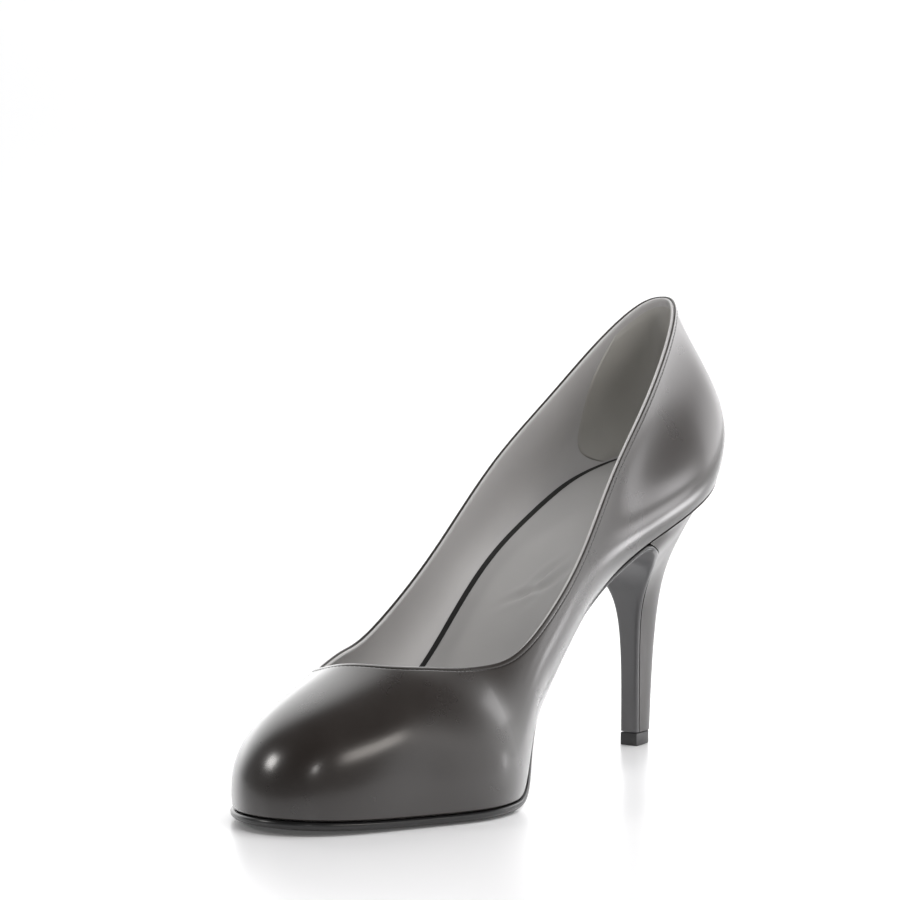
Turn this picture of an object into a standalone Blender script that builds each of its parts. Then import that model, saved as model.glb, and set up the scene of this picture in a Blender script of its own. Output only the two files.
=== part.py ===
"""Platform pump, left shoe: hollow upper, platform sole, insole, covered heel and heel tip.

Frame: +Z up, the toe points to -Y, +X is the outer (lateral) side of the shoe.
The origin is on the floor, in the middle of the shoe's footprint box.
"""
from collections import namedtuple

import bmesh
import bpy
import numpy as np

# Driving sizes in millimetres; the finished meshes are scaled to metres.
MM = 0.001
MIDDLE_ALONG = 119.6        # from the toe tip to the middle of the shoe's length
MIDDLE_SIDE = 2.8           # the outer ball swells further, so the box sits off the heel axis
GAP = 0.3                   # clearance between neighbouring pieces
WALL = 2.0                  # upper: leather, stiffener and lining together
INSOLE = 3.2
SOLE_EDGE = 3.3             # visible edge of the forefoot sole
SOLE_WAIST = 2.4            # the sole is skived thinner under the arch
FLAP = 1.4                  # the tongue of the sole that runs down the heel breast
SOLE_MARGIN = 0.6           # the forefoot sole stands this far outside the upper
SOLE_TUCK = 1.8             # under the waist it is cut this far inside the upper's edge
TUCK_FRONT = 92.0
TUCK_BACK = 172.0
TOE_SPRING = 1.6
TREAD_FRONT = 48.0          # the sole lies flat on the floor between these two
TREAD_BACK = 80.0
PLATFORM_END = 118.0        # the hidden platform has run out here
BEVEL_SHARE = 0.35          # bevel of the sole's lower edge, as a share of its thickness
UNDERCUT_SHARE = 1.6
BREAST = 181.0              # where the sole leaves the arch and turns down the heel
BREAST_TURN = 4.0           # length of the rounded turn on the arch side
SEAT_SETBACK = 0.9          # the heel's seat starts this far behind the turn of the sole
TIP_HEIGHT = 4.5            # replaceable heel tip
TIP_INSET = 0.2
HEEL_ROUNDNESS = 2.4        # superellipse exponent of the heel's plan sections

# Mesh density
RING_HALF = 48              # ribs from toe to heel on each side of the upper
RIB_STEPS = 13
SIDE_STATIONS = 60
HEEL_ARC = 28
HEEL_SUBSTEPS = 3           # rings for each row of the heel table
TURN_PROFILES = 3           # profiles of the sole round its turn at the breast
FINE_STEPS = 80             # samples along a rib when a height is looked up on it
RIB_RUN_ON = -0.1           # for that, ribs are run on below the feather edge by this share
RIB_LOOKUP_END = 0.8        # and followed up to this share of their length
RING_LOOKUP_STEPS = 4000    # samples along a side when a place along is looked up on it
TOPLINE_WEIGHT = 0.5        # share of the topline's spacing, beside the feather edge's, in the ring parameter
SHARP_DEGREES = 40.0
MERGE = 1e-6                # metres
TINY = 1e-3                 # step for slopes and directions

# One rib of the upper runs from the feather edge (where it meets the sole) to the topline.
# flare: outward lean in degrees at the feather edge.  crown: inward lean at the topline.
# lift and reach: lengths of the two curve handles as a share of the rib's straight length.
Rib = namedtuple("Rib", "feather_along feather_side top_along top_side top_height flare crown lift reach")

OUTER_RIBS = (
    Rib(0.0, -1.0, 44.0, -1.0, 49.0, 3, 66, 0.46, 0.40),        # toe tip
    Rib(4.5, 14.5, 46.0, 9.5, 49.4, 4, 65, 0.45, 0.40),         # toe corner
    Rib(18.5, 26.0, 49.5, 16.5, 49.0, 4, 62, 0.43, 0.39),       # toe flank
    Rib(40.0, 36.0, 58.0, 21.5, 48.2, 4, 59, 0.45, 0.40),       # before the ball
    Rib(62.0, 44.5, 69.5, 25.7, 46.8, 4, 52, 0.44, 0.40),       # ball
    Rib(84.0, 41.3, 81.0, 28.3, 46.2, 8, 42, 0.42, 0.40),       # behind the ball
    Rib(107.0, 29.5, 97.0, 31.2, 49.2, 16, 30, 0.40, 0.38),     # waist front
    Rib(130.0, 25.2, 119.0, 31.0, 62.3, 37, 18, 0.40, 0.36),    # waist
    Rib(155.0, 25.0, 140.0, 28.5, 78.8, 38, 10, 0.40, 0.35),    # arch
    Rib(180.0, 28.5, 164.5, 23.5, 101.2, 29, 8, 0.38, 0.35),    # seat front
    Rib(204.0, 30.6, 190.0, 19.0, 121.8, 24, 8, 0.38, 0.35),    # seat
    Rib(221.5, 25.8, 214.5, 11.7, 140.6, 24, 13, 0.39, 0.35),   # seat back
    Rib(233.0, 15.0, 227.8, 4.8, 150.8, 26, 18, 0.43, 0.36),    # counter corner
    Rib(236.0, -0.4, 231.5, -2.0, 153.0, 23, 16, 0.38, 0.35),   # heel back
)

# Inner (medial) side, between the same toe tip and heel back; sides are towards -X.
INNER_RIBS = (
    Rib(4.5, 13.0, 46.0, 9.0, 47.2, 6, 63, 0.45, 0.40),
    Rib(18.5, 26.0, 49.5, 16.0, 45.4, 8, 52, 0.43, 0.39),
    Rib(40.0, 33.5, 58.0, 22.0, 44.0, 4, 54, 0.45, 0.40),
    Rib(62.0, 39.0, 69.5, 26.0, 45.0, 4, 52, 0.44, 0.40),
    Rib(84.0, 37.5, 81.0, 29.0, 46.4, 5, 42, 0.42, 0.40),
    Rib(107.0, 31.7, 97.0, 31.8, 49.2, 25, 30, 0.40, 0.38),
    Rib(130.0, 27.5, 119.0, 31.0, 62.3, 45, 18, 0.40, 0.36),
    Rib(155.0, 26.5, 140.0, 29.8, 78.8, 43, 10, 0.40, 0.35),
    Rib(180.0, 27.0, 164.5, 27.0, 101.0, 30, 8, 0.38, 0.35),
    Rib(204.0, 27.8, 190.0, 21.5, 121.6, 21, 8, 0.38, 0.35),
    Rib(221.5, 22.8, 214.5, 16.0, 140.6, 20, 11, 0.39, 0.35),
    Rib(233.0, 13.4, 227.8, 8.6, 151.2, 22, 15, 0.43, 0.36),
)

# Height of the insole's top along the shoe.
Station = namedtuple("Station", "along height")

INSOLE_LINE = (
    Station(0.0, 19.0),
    Station(55.0, 16.2),
    Station(75.0, 15.2),
    Station(95.0, 20.5),
    Station(115.0, 31.0),
    Station(135.0, 50.0),
    Station(155.0, 67.0),
    Station(175.0, 78.2),
    Station(195.0, 86.2),
    Station(215.0, 93.6),
    Station(235.0, 99.6),
)

# Heel sections from the tip upwards: the flat breast in front, the rounded back behind.
HeelSection = namedtuple("HeelSection", "front_along front_height back_along back_height half_width centre")

HEEL_SECTIONS = (
    HeelSection(208.4, 4.8, 217.8, 4.8, 3.5, 0.0),
    HeelSection(208.4, 20.0, 219.0, 20.0, 3.5, 0.0),
    HeelSection(208.0, 38.0, 221.0, 39.0, 4.0, 0.0),
    HeelSection(207.2, 48.0, 222.8, 51.0, 5.3, 0.0),
    HeelSection(205.2, 56.5, 224.8, 62.5, 8.6, 0.1),
    HeelSection(199.5, 63.8, 227.8, 75.0, 14.8, 0.3),
    HeelSection(192.3, 68.8, 231.4, 86.0, 21.0, 0.5),
    HeelSection(184.5, 72.4, 234.4, 93.6, 26.2, 0.7),
)


def natural_spline(places, values):
    """Cubic spline through the values, straight beyond its ends; values may have several columns."""
    x = np.asarray(places, dtype=float)
    y = np.asarray(values, dtype=float).reshape(len(x), -1)
    step = np.diff(x)
    slope = np.diff(y, axis=0) / step[:, None]
    matrix = np.eye(len(x))
    right = np.zeros_like(y)
    for i in range(1, len(x) - 1):
        matrix[i, i - 1:i + 2] = step[i - 1], 2.0 * (step[i - 1] + step[i]), step[i]
        right[i] = 6.0 * (slope[i] - slope[i - 1])
    bend = np.linalg.solve(matrix, right)

    def evaluate(places_wanted):
        wanted = np.asarray(places_wanted, dtype=float)
        i = np.clip(np.searchsorted(x, wanted) - 1, 0, len(x) - 2)
        h = step[i][..., None]
        a = (x[i + 1] - wanted)[..., None] / h
        b = 1.0 - a
        cubic = ((a ** 3 - a) * bend[i] + (b ** 3 - b) * bend[i + 1]) * h * h / 6.0
        return a * y[i] + b * y[i + 1] + cubic

    return evaluate


def closed_spline(knots, rows):
    """Smooth closed spline: rows[i] at knots[i], back to rows[0] at knots[-1]."""
    count = len(rows)
    step = np.diff(knots)
    matrix = np.zeros((count, count))
    right = np.zeros_like(rows)
    for i in range(count):
        after = (i + 1) % count
        matrix[i, i - 1] += 1.0 / step[i - 1]
        matrix[i, i] += 2.0 / step[i - 1] + 2.0 / step[i]
        matrix[i, after] += 1.0 / step[i]
        right[i] = 3.0 * (rows[i] - rows[i - 1]) / step[i - 1] ** 2
        right[i] += 3.0 * (rows[after] - rows[i]) / step[i] ** 2
    speed = np.linalg.solve(matrix, right)

    def evaluate(t):
        t = np.mod(t, knots[-1])
        i = np.clip(np.searchsorted(knots, t, side="right") - 1, 0, count - 1)
        j = (i + 1) % count
        h = step[i][:, None]
        s = (t - knots[i])[:, None] / h
        start = rows[i] * (2 * s ** 3 - 3 * s ** 2 + 1) + speed[i] * h * (s ** 3 - 2 * s ** 2 + s)
        end = rows[j] * (3 * s ** 2 - 2 * s ** 3) + speed[j] * h * (s ** 3 - s ** 2)
        return start + end

    return evaluate


def rib_loop():
    """The rib table as one closed spline: toe, outer side, heel back, inner side, toe."""
    inner = np.array(INNER_RIBS[::-1])
    inner[:, Rib._fields.index("feather_side")] *= -1.0
    inner[:, Rib._fields.index("top_side")] *= -1.0
    rows = np.vstack([np.array(OUTER_RIBS), inner])
    around = np.diff(np.vstack([rows, rows[:1]]), axis=0)
    step = Rib(*around.T)
    spacing = np.hypot(step.feather_along, step.feather_side)
    spacing += TOPLINE_WEIGHT * np.hypot(step.top_along, step.top_side)
    knots = np.concatenate([[0.0], np.cumsum(spacing)])
    return closed_spline(knots, rows), knots[len(OUTER_RIBS) - 1], knots[-1]


RIB_CURVE, AT_HEEL, AT_END = rib_loop()
INSOLE_CURVE = natural_spline([s.along for s in INSOLE_LINE], [s.height for s in INSOLE_LINE])


def ribs_at(t):
    """The rib table's columns at ring parameters t."""
    return Rib(*RIB_CURVE(t).T)


def insole_height(along):
    return INSOLE_CURVE(along)[..., 0]


def platform_height(along):
    """Top of the platform under the insole; behind the platform it is the top of the sole itself."""
    return insole_height(along) - INSOLE - GAP


def platform_share(along):
    """1 at the ball, falling smoothly to 0 where the platform has run out under the arch."""
    gone = np.clip((along - TREAD_BACK) / (PLATFORM_END - TREAD_BACK), 0.0, 1.0)
    return 1.0 - gone * gone * (3.0 - 2.0 * gone)


def feather_height(along):
    """Height of the upper's lower edge: low round the platform, at the insole from the arch back."""
    spring = TOE_SPRING * (np.clip(TREAD_FRONT - along, 0.0, None) / TREAD_FRONT) ** 2
    low = SOLE_EDGE + GAP + spring
    share = platform_share(along)
    return low * share + platform_height(along) * (1.0 - share)


def feather(t):
    """Feather-edge points at ring parameters t."""
    rib = ribs_at(t)
    return np.stack([rib.feather_side, rib.feather_along, feather_height(rib.feather_along)], axis=1)


def topline(t):
    """Topline points at ring parameters t."""
    rib = ribs_at(t)
    return np.stack([rib.top_side, rib.top_along, rib.top_height], axis=1)


def edge_frame(edge, t):
    """Outward direction in plan, and the upward direction square to an edge curve."""
    run = edge(t + TINY) - edge(t - TINY)
    run /= np.linalg.norm(run, axis=1, keepdims=True)
    out = np.stack([run[:, 1], -run[:, 0], np.zeros(len(t))], axis=1)
    out /= np.linalg.norm(out, axis=1, keepdims=True)
    return out, np.cross(out, run)


def upper_surface(t, v):
    """Outside of the upper: a cubic rib for each t, from the feather edge (v = 0) to the topline (v = 1)."""
    rib = ribs_at(t)
    flare = np.radians(rib.flare)[:, None]
    crown = np.radians(rib.crown)[:, None]
    low = feather(t)
    high = topline(t)
    out_low, up_low = edge_frame(feather, t)
    out_high, up_high = edge_frame(topline, t)
    length = np.linalg.norm(high - low, axis=1, keepdims=True)
    above = low + rib.lift[:, None] * length * (np.sin(flare) * out_low + np.cos(flare) * up_low)
    below = high + rib.reach[:, None] * length * (np.sin(crown) * out_high - np.cos(crown) * up_high)
    v = np.asarray(v)[None, :, None]
    w = 1.0 - v
    return (low[:, None] * w ** 3 + above[:, None] * 3 * v * w ** 2
            + below[:, None] * 3 * v ** 2 * w + high[:, None] * v ** 3)


def inside_surface(t, v, depth):
    """The upper's surface moved inwards by depth, square to the leather."""
    along_ring = upper_surface(t + TINY, v) - upper_surface(t - TINY, v)
    along_rib = upper_surface(t, np.asarray(v) + TINY) - upper_surface(t, np.asarray(v) - TINY)
    normal = np.cross(along_ring, along_rib)
    normal /= np.linalg.norm(normal, axis=2, keepdims=True)
    return upper_surface(t, v) - depth * normal


def inside_ring(t, height):
    """Where the wall's inner face, with its clearance, passes a height that depends on the place along."""
    ribs = inside_surface(t, np.linspace(RIB_RUN_ON, RIB_LOOKUP_END, FINE_STEPS), WALL + GAP)
    over = ribs[:, :, 2] - height(ribs[:, :, 1])
    rows = np.arange(len(t))
    first = np.maximum(np.argmax(over >= 0.0, axis=1), 1)
    low = over[rows, first - 1]
    high = over[rows, first]
    share = np.clip(low / (low - high), 0.0, 1.0)[:, None]
    ring = ribs[rows, first - 1] * (1.0 - share) + ribs[rows, first] * share
    ring[:, 2] = height(ring[:, 1])
    return ring


def ring_place(along, toe):
    """Ring parameters of the ribs that stand at places along, on the side that starts at this toe end."""
    dense = np.linspace(toe, AT_HEEL, RING_LOOKUP_STEPS)
    return np.interp(along, np.maximum.accumulate(ribs_at(dense).feather_along), dense)


def side_parameters(stop_along, steps):
    """Matching ring parameters on the outer and inner side, from the toe tip to a place along.

    Both sides stand at the same places along, so a line across the shoe between them is level.
    """
    stop = AT_HEEL if stop_along is None else ring_place(stop_along, 0.0)
    outer = np.linspace(0.0, stop, steps + 1)
    inner = ring_place(ribs_at(outer).feather_along, AT_END)
    inner[0] = AT_END
    if stop_along is None:
        inner[-1] = AT_HEEL
    return outer, inner


def add_mesh(name, vertices, faces, material):
    """Mesh object in metres in the shoe's frame, doubles merged, faces turned outwards."""
    places = np.asarray(vertices, dtype=float) - [MIDDLE_SIDE, MIDDLE_ALONG, 0.0]
    mesh = bpy.data.meshes.new(name)
    mesh.from_pydata((places * MM).tolist(), [], faces)
    work = bmesh.new()
    work.from_mesh(mesh)
    bmesh.ops.remove_doubles(work, verts=work.verts, dist=MERGE)
    bmesh.ops.recalc_face_normals(work, faces=work.faces)
    work.to_mesh(mesh)
    work.free()
    mesh.shade_smooth()
    mesh.set_sharp_from_angle(angle=np.radians(SHARP_DEGREES))
    mesh.materials.append(material)
    piece = bpy.data.objects.new(name, mesh)
    shoe.objects.link(piece)
    return piece


def bridge(rows, closed):
    """Quads between neighbouring rows of an (n rows, m points) grid."""
    count, width = rows
    faces = []
    for i in range(count - 1):
        for j in range(width if closed else width - 1):
            k = (j + 1) % width
            faces.append((i * width + j, i * width + k, (i + 1) * width + k, (i + 1) * width + j))
    return faces


def strip_solid(name, outer, inner, material, end_cap):
    """Solid between two edge profiles, (stations, points, 3) each, that meet in a point at the toe."""
    loops = np.concatenate([outer, inner[:, ::-1]], axis=1)
    stations, width = loops.shape[:2]
    faces = bridge((stations, width), closed=True)
    if end_cap:
        faces.append(tuple(range((stations - 1) * width, stations * width)))
    return add_mesh(name, loops.reshape(-1, 3), faces, material)


def plain_material(name, colour, roughness):
    material = bpy.data.materials.new(name)
    material.use_nodes = True
    shader = material.node_tree.nodes["Principled BSDF"]
    shader.inputs["Base Color"].default_value = (*colour, 1.0)
    shader.inputs["Roughness"].default_value = roughness
    shader.inputs["Metallic"].default_value = 0.0
    return material


def make_upper():
    """Hollow upper: one open leather surface round the last, thickened inwards to its wall."""
    t = np.concatenate([np.linspace(0.0, AT_HEEL, RING_HALF, endpoint=False),
                        np.linspace(AT_HEEL, AT_END, RING_HALF, endpoint=False)])
    grid = upper_surface(t, np.linspace(0.0, 1.0, RIB_STEPS + 1)).transpose(1, 0, 2)
    faces = bridge(grid.shape[:2], closed=True)
    calf = plain_material("calf", (0.035, 0.03, 0.029), 0.3)
    piece = add_mesh("upper", grid.reshape(-1, 3), faces, calf)
    wall = piece.modifiers.new("wall", "SOLIDIFY")
    wall.thickness = WALL * MM
    wall.offset = -1.0
    wall.use_even_offset = True
    wall.use_rim = True
    return piece


def sole_tuck(along):
    """How far the sole's edge lies inside the upper's edge: nothing at the ball and breast, most between."""
    share = np.clip((along - TUCK_FRONT) / (TUCK_BACK - TUCK_FRONT), 0.0, 1.0)
    return SOLE_TUCK * np.sin(np.pi * share) ** 2


def sole_edge(t):
    """One side of the sole from toe to breast: five profile points at each station.

    Underside, bevelled lower edge, upper edge, ledge that carries the wall, edge of the platform top.
    """
    feather_edge = feather(t)
    along = feather_edge[:, 1]
    out = edge_frame(feather, t)[0]
    share = platform_share(along)[:, None]
    tuck = sole_tuck(along)[:, None] * out
    rise = (feather_height(along + TINY) - feather_height(along - TINY)) / (2.0 * TINY)
    up = np.stack([np.zeros(len(t)), -rise, np.ones(len(t))], axis=1)
    up /= np.linalg.norm(up, axis=1, keepdims=True)
    thick = SOLE_WAIST + (SOLE_EDGE - SOLE_WAIST) * share
    bevel = BEVEL_SHARE * thick
    rim = feather_edge + SOLE_MARGIN * share * out - tuck - GAP * up
    underside = rim - thick * up - UNDERCUT_SHARE * thick * out
    lower_edge = rim - (thick - bevel) * up - BEVEL_SHARE * bevel * out
    ledge = feather_edge - (WALL + GAP) * out - tuck - GAP * up
    platform = inside_ring(t, platform_height) - tuck
    platform[:, 2] = platform_height(platform[:, 1])
    return np.stack([underside, lower_edge, rim, ledge, platform], axis=1)


def heel_sections():
    """The heel table, smoothed to several sections for each row."""
    rows = np.array(HEEL_SECTIONS)
    curve = natural_spline(np.arange(len(rows)), rows)
    fine = curve(np.linspace(0.0, len(rows) - 1.0, HEEL_SUBSTEPS * (len(rows) - 1) + 1))
    return [HeelSection(*row) for row in fine]


def breast_tongue(sign):
    """One side (+1 outer, -1 inner) of the sole's tongue, from the arch down to the heel tip."""
    breast = HeelSection(*np.array(heel_sections()[::-1]).T)
    side = breast.centre + sign * breast.half_width
    corner = np.stack([side, breast.front_along, breast.front_height], axis=1)
    run = np.gradient(corner[:, 1:], axis=0)
    run /= np.linalg.norm(run, axis=1, keepdims=True)
    ahead = np.stack([np.zeros(len(run)), run[:, 1], -run[:, 0]], axis=1)
    inward = np.array([-sign, 0.0, 0.0])
    back = corner + GAP * ahead
    front = back + FLAP * ahead
    inner_edges = [back + WALL * inward, back + 2.0 * WALL * inward]
    return np.stack([front + FLAP * inward, front, back, *inner_edges], axis=1)


def rounded_turn(before, corner, after):
    """Profiles round the turn: outer face on a soft curve, inner face through the sharp corner."""
    turn = []
    for s in np.linspace(0.0, 1.0, TURN_PROFILES + 2)[1:-1]:
        soft = before * (1.0 - s) ** 2 + corner * 2.0 * s * (1.0 - s) + after * s ** 2
        near = before if s < 0.5 else after
        sharp = corner + (near - corner) * abs(1.0 - 2.0 * s)
        turn.append(np.concatenate([soft[:2], sharp[2:]]))
    return np.array(turn)


def make_sole():
    """Forefoot sole with its platform, thin waist and the tongue down the heel breast, in one piece."""
    sides = []
    for sign, toe, t in zip((1.0, -1.0), (0.0, AT_END), side_parameters(BREAST - BREAST_TURN, SIDE_STATIONS)):
        arch = sole_edge(t)
        corner = sole_edge(np.array([ring_place(BREAST, toe)]))[0]
        tongue = breast_tongue(sign)
        turn = rounded_turn(arch[-1], corner, tongue[0])
        sides.append(np.concatenate([arch, turn, tongue]))
    leather = plain_material("sole_leather", (0.012, 0.012, 0.012), 0.35)
    return strip_solid("sole", sides[0], sides[1], leather, end_cap=True)


def make_insole():
    """Insole inside the wall, from toe to heel, on the platform and then on the sole and heel."""
    sides = []
    for t in side_parameters(None, SIDE_STATIONS):
        low = inside_ring(t, lambda along: insole_height(along) - INSOLE)
        high = inside_ring(t, insole_height)
        sides.append(np.stack([low, high], axis=1))
    sock = plain_material("sock", (0.22, 0.215, 0.21), 0.6)
    return strip_solid("insole", sides[0], sides[1], sock, end_cap=False)


def heel_arc(section):
    """Superellipse from the outer breast corner round the back to the inner one, in the section's slope."""
    angle = np.linspace(0.0, np.pi, HEEL_ARC + 1)
    power = 2.0 / HEEL_ROUNDNESS
    side = np.sign(np.cos(angle)) * np.abs(np.cos(angle)) ** power
    deep = np.sin(angle).clip(0.0) ** power
    along = section.front_along + (section.back_along - section.front_along) * deep
    height = section.front_height + (section.back_height - section.front_height) * deep
    return np.stack([section.centre + section.half_width * side, along, height], axis=1)


def make_heel():
    """Covered heel: D-shaped sections from the tip up to the seat, whose outline is the upper's edge."""
    front = BREAST + SEAT_SETBACK
    outer = np.linspace(ring_place(front, 0.0), AT_HEEL, HEEL_ARC // 2 + 1)
    inner = np.linspace(AT_HEEL, ring_place(front, AT_END), HEEL_ARC // 2 + 1)
    seat = feather(np.concatenate([outer, inner[1:]]))
    seat[:, 2] -= GAP
    fine = np.array([heel_arc(section) for section in heel_sections()] + [seat])
    count, width = fine.shape[:2]
    faces = bridge((count, width), closed=True)
    faces.append(tuple(range(width)))
    top = (count - 1) * width
    for k in range(HEEL_ARC // 2):
        faces.append((top + k, top + k + 1, top + width - 2 - k, top + width - 1 - k))
    cover = plain_material("heel_cover", (0.05, 0.045, 0.045), 0.3)
    return add_mesh("heel", fine.reshape(-1, 3), faces, cover)


def make_heel_tip():
    """Hard tip under the heel: the lowest heel section, a little smaller, standing on the floor."""
    low = HEEL_SECTIONS[0]
    front = low.front_along + TIP_INSET - FLAP - GAP
    back = low.back_along - TIP_INSET
    outline = heel_arc(HeelSection(front, 0.0, back, 0.0, low.half_width - TIP_INSET, low.centre))
    upper_face = outline + [0.0, 0.0, TIP_HEIGHT]
    width = len(outline)
    faces = bridge((2, width), closed=True)
    faces.append(tuple(range(width)))
    faces.append(tuple(range(width, 2 * width)))
    plastic = plain_material("tip_plastic", (0.01, 0.01, 0.01), 0.45)
    return add_mesh("heel_tip", np.concatenate([outline, upper_face]), faces, plastic)


for old in list(bpy.data.objects):
    bpy.data.objects.remove(old, do_unlink=True)
shoe = bpy.data.collections.new("platform_pump")
bpy.context.scene.collection.children.link(shoe)

make_upper()
make_sole()
make_insole()
make_heel()
make_heel_tip()
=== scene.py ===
"""Looks of the platform pump: calf upper, lining, topline stitch, sock, sole, covered heel and tip."""
from collections import namedtuple

import bmesh
import bpy
import numpy as np
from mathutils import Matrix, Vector


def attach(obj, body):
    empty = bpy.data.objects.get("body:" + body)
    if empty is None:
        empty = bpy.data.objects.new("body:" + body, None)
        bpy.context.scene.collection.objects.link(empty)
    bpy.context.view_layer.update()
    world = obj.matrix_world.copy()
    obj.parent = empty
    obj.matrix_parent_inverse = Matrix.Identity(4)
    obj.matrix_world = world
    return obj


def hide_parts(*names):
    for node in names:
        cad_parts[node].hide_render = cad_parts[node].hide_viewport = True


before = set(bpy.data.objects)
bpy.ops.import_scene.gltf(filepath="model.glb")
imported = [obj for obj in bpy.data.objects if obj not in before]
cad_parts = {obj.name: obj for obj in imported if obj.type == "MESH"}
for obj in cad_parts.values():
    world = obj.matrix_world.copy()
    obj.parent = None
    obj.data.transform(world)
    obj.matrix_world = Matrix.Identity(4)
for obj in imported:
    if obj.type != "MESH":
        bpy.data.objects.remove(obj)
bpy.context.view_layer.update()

# Upper leather
# One skin of smooth dark calf, pulled over the last and turned in under the foot at the feather edge.
# Its top edge is folded over; a seam at the middle of the back closes it.

MM = 0.001
MIDDLE_ALONG = 119.6  # millimetres from the toe tip to the middle of the shoe
MIDDLE_SIDE = 2.8  # and sideways from the last's centre line
GAP = 0.3  # clearance between neighbouring pieces
WALL = 2.0  # calf, stiffener and lining together
LEATHER = 0.8  # the calf alone
INSOLE = 3.2  # board and sock together
SOLE_EDGE = 3.3  # thickness of the sole's edge round the platform
TOE_SPRING = 1.6  # lift of the toe tip
TREAD_FRONT = 48.0  # the sole lies flat on the floor from here
TREAD_BACK = 80.0  # to here
PLATFORM_END = 118.0  # where the platform has run out under the arch
TOPLINE_WEIGHT = 0.5  # share of the topline's steps in the spacing of the ribs
TINY = 1e-3  # step of ring and rib parameters for slopes
MERGE = 2e-6  # metres: points nearer than this become one
SLIVER = 1e-7  # and edges shorter than this are dissolved
CLOUD_LOW = 0.3  # usual range of the noise behind colour and gloss
CLOUD_HIGH = 0.7
CLOUD_DETAIL = 4.0
GRAIN_DETAIL = 2.0

# A rib runs from the feather edge to the topline. flare: outward lean in degrees at the feather edge.
# crown: inward lean at the topline. lift, reach: handle lengths as a share of the rib's straight length.
Rib = namedtuple("Rib", "feather_along feather_side top_along top_side top_height flare crown lift reach")

OUTER_RIBS = (
    Rib(0.0, -1.0, 44.0, -1.0, 49.0, 3, 66, 0.46, 0.40),        # toe tip
    Rib(4.5, 14.5, 46.0, 9.5, 49.4, 4, 65, 0.45, 0.40),         # toe corner
    Rib(18.5, 26.0, 49.5, 16.5, 49.0, 4, 62, 0.43, 0.39),       # toe flank
    Rib(40.0, 36.0, 58.0, 21.5, 48.2, 4, 59, 0.45, 0.40),       # before the ball
    Rib(62.0, 44.5, 69.5, 25.7, 46.8, 4, 52, 0.44, 0.40),       # ball
    Rib(84.0, 41.3, 81.0, 28.3, 46.2, 8, 42, 0.42, 0.40),       # behind the ball
    Rib(107.0, 29.5, 97.0, 31.2, 49.2, 16, 30, 0.40, 0.38),     # waist front
    Rib(130.0, 25.2, 119.0, 31.0, 62.3, 37, 18, 0.40, 0.36),    # waist
    Rib(155.0, 25.0, 140.0, 28.5, 78.8, 38, 10, 0.40, 0.35),    # arch
    Rib(180.0, 28.5, 164.5, 23.5, 101.2, 29, 8, 0.38, 0.35),    # seat front
    Rib(204.0, 30.6, 190.0, 19.0, 121.8, 24, 8, 0.38, 0.35),    # seat
    Rib(221.5, 25.8, 214.5, 11.7, 140.6, 24, 13, 0.39, 0.35),   # seat back
    Rib(233.0, 15.0, 227.8, 4.8, 150.8, 26, 18, 0.43, 0.36),    # counter corner
    Rib(236.0, -0.4, 231.5, -2.0, 153.0, 23, 16, 0.38, 0.35),   # heel back
)

# Inner side between the same toe tip and heel back; sides are towards -X.
INNER_RIBS = (
    Rib(4.5, 13.0, 46.0, 9.0, 47.2, 6, 63, 0.45, 0.40),
    Rib(18.5, 26.0, 49.5, 16.0, 45.4, 8, 52, 0.43, 0.39),
    Rib(40.0, 33.5, 58.0, 22.0, 44.0, 4, 54, 0.45, 0.40),
    Rib(62.0, 39.0, 69.5, 26.0, 45.0, 4, 52, 0.44, 0.40),
    Rib(84.0, 37.5, 81.0, 29.0, 46.4, 5, 42, 0.42, 0.40),
    Rib(107.0, 31.7, 97.0, 31.8, 49.2, 25, 30, 0.40, 0.38),
    Rib(130.0, 27.5, 119.0, 31.0, 62.3, 45, 18, 0.40, 0.36),
    Rib(155.0, 26.5, 140.0, 29.8, 78.8, 43, 10, 0.40, 0.35),
    Rib(180.0, 27.0, 164.5, 27.0, 101.0, 30, 8, 0.38, 0.35),
    Rib(204.0, 27.8, 190.0, 21.5, 121.6, 21, 8, 0.38, 0.35),
    Rib(221.5, 22.8, 214.5, 16.0, 140.6, 20, 11, 0.39, 0.35),
    Rib(233.0, 13.4, 227.8, 8.6, 151.2, 22, 15, 0.43, 0.36),
)

# Height of the insole's top along the shoe.
Station = namedtuple("Station", "along height")

INSOLE_LINE = (
    Station(0.0, 19.0), Station(55.0, 16.2), Station(75.0, 15.2), Station(95.0, 20.5),
    Station(115.0, 31.0), Station(135.0, 50.0), Station(155.0, 67.0), Station(175.0, 78.2),
    Station(195.0, 86.2), Station(215.0, 93.6), Station(235.0, 99.6),
)


def natural_spline(places, values):
    """Natural cubic spline through the values, whose end pieces run on; values may have several columns."""
    x = np.asarray(places, dtype=float)
    y = np.asarray(values, dtype=float).reshape(len(x), -1)
    step = np.diff(x)
    slope = np.diff(y, axis=0) / step[:, None]
    matrix = np.eye(len(x))
    right = np.zeros_like(y)
    for i in range(1, len(x) - 1):
        matrix[i, i - 1:i + 2] = step[i - 1], 2.0 * (step[i - 1] + step[i]), step[i]
        right[i] = 6.0 * (slope[i] - slope[i - 1])
    bend = np.linalg.solve(matrix, right)

    def evaluate(places_wanted):
        wanted = np.asarray(places_wanted, dtype=float)
        i = np.clip(np.searchsorted(x, wanted) - 1, 0, len(x) - 2)
        h = step[i][..., None]
        a = (x[i + 1] - wanted)[..., None] / h
        b = 1.0 - a
        cubic = ((a ** 3 - a) * bend[i] + (b ** 3 - b) * bend[i + 1]) * h * h / 6.0
        return a * y[i] + b * y[i + 1] + cubic

    return evaluate


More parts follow.
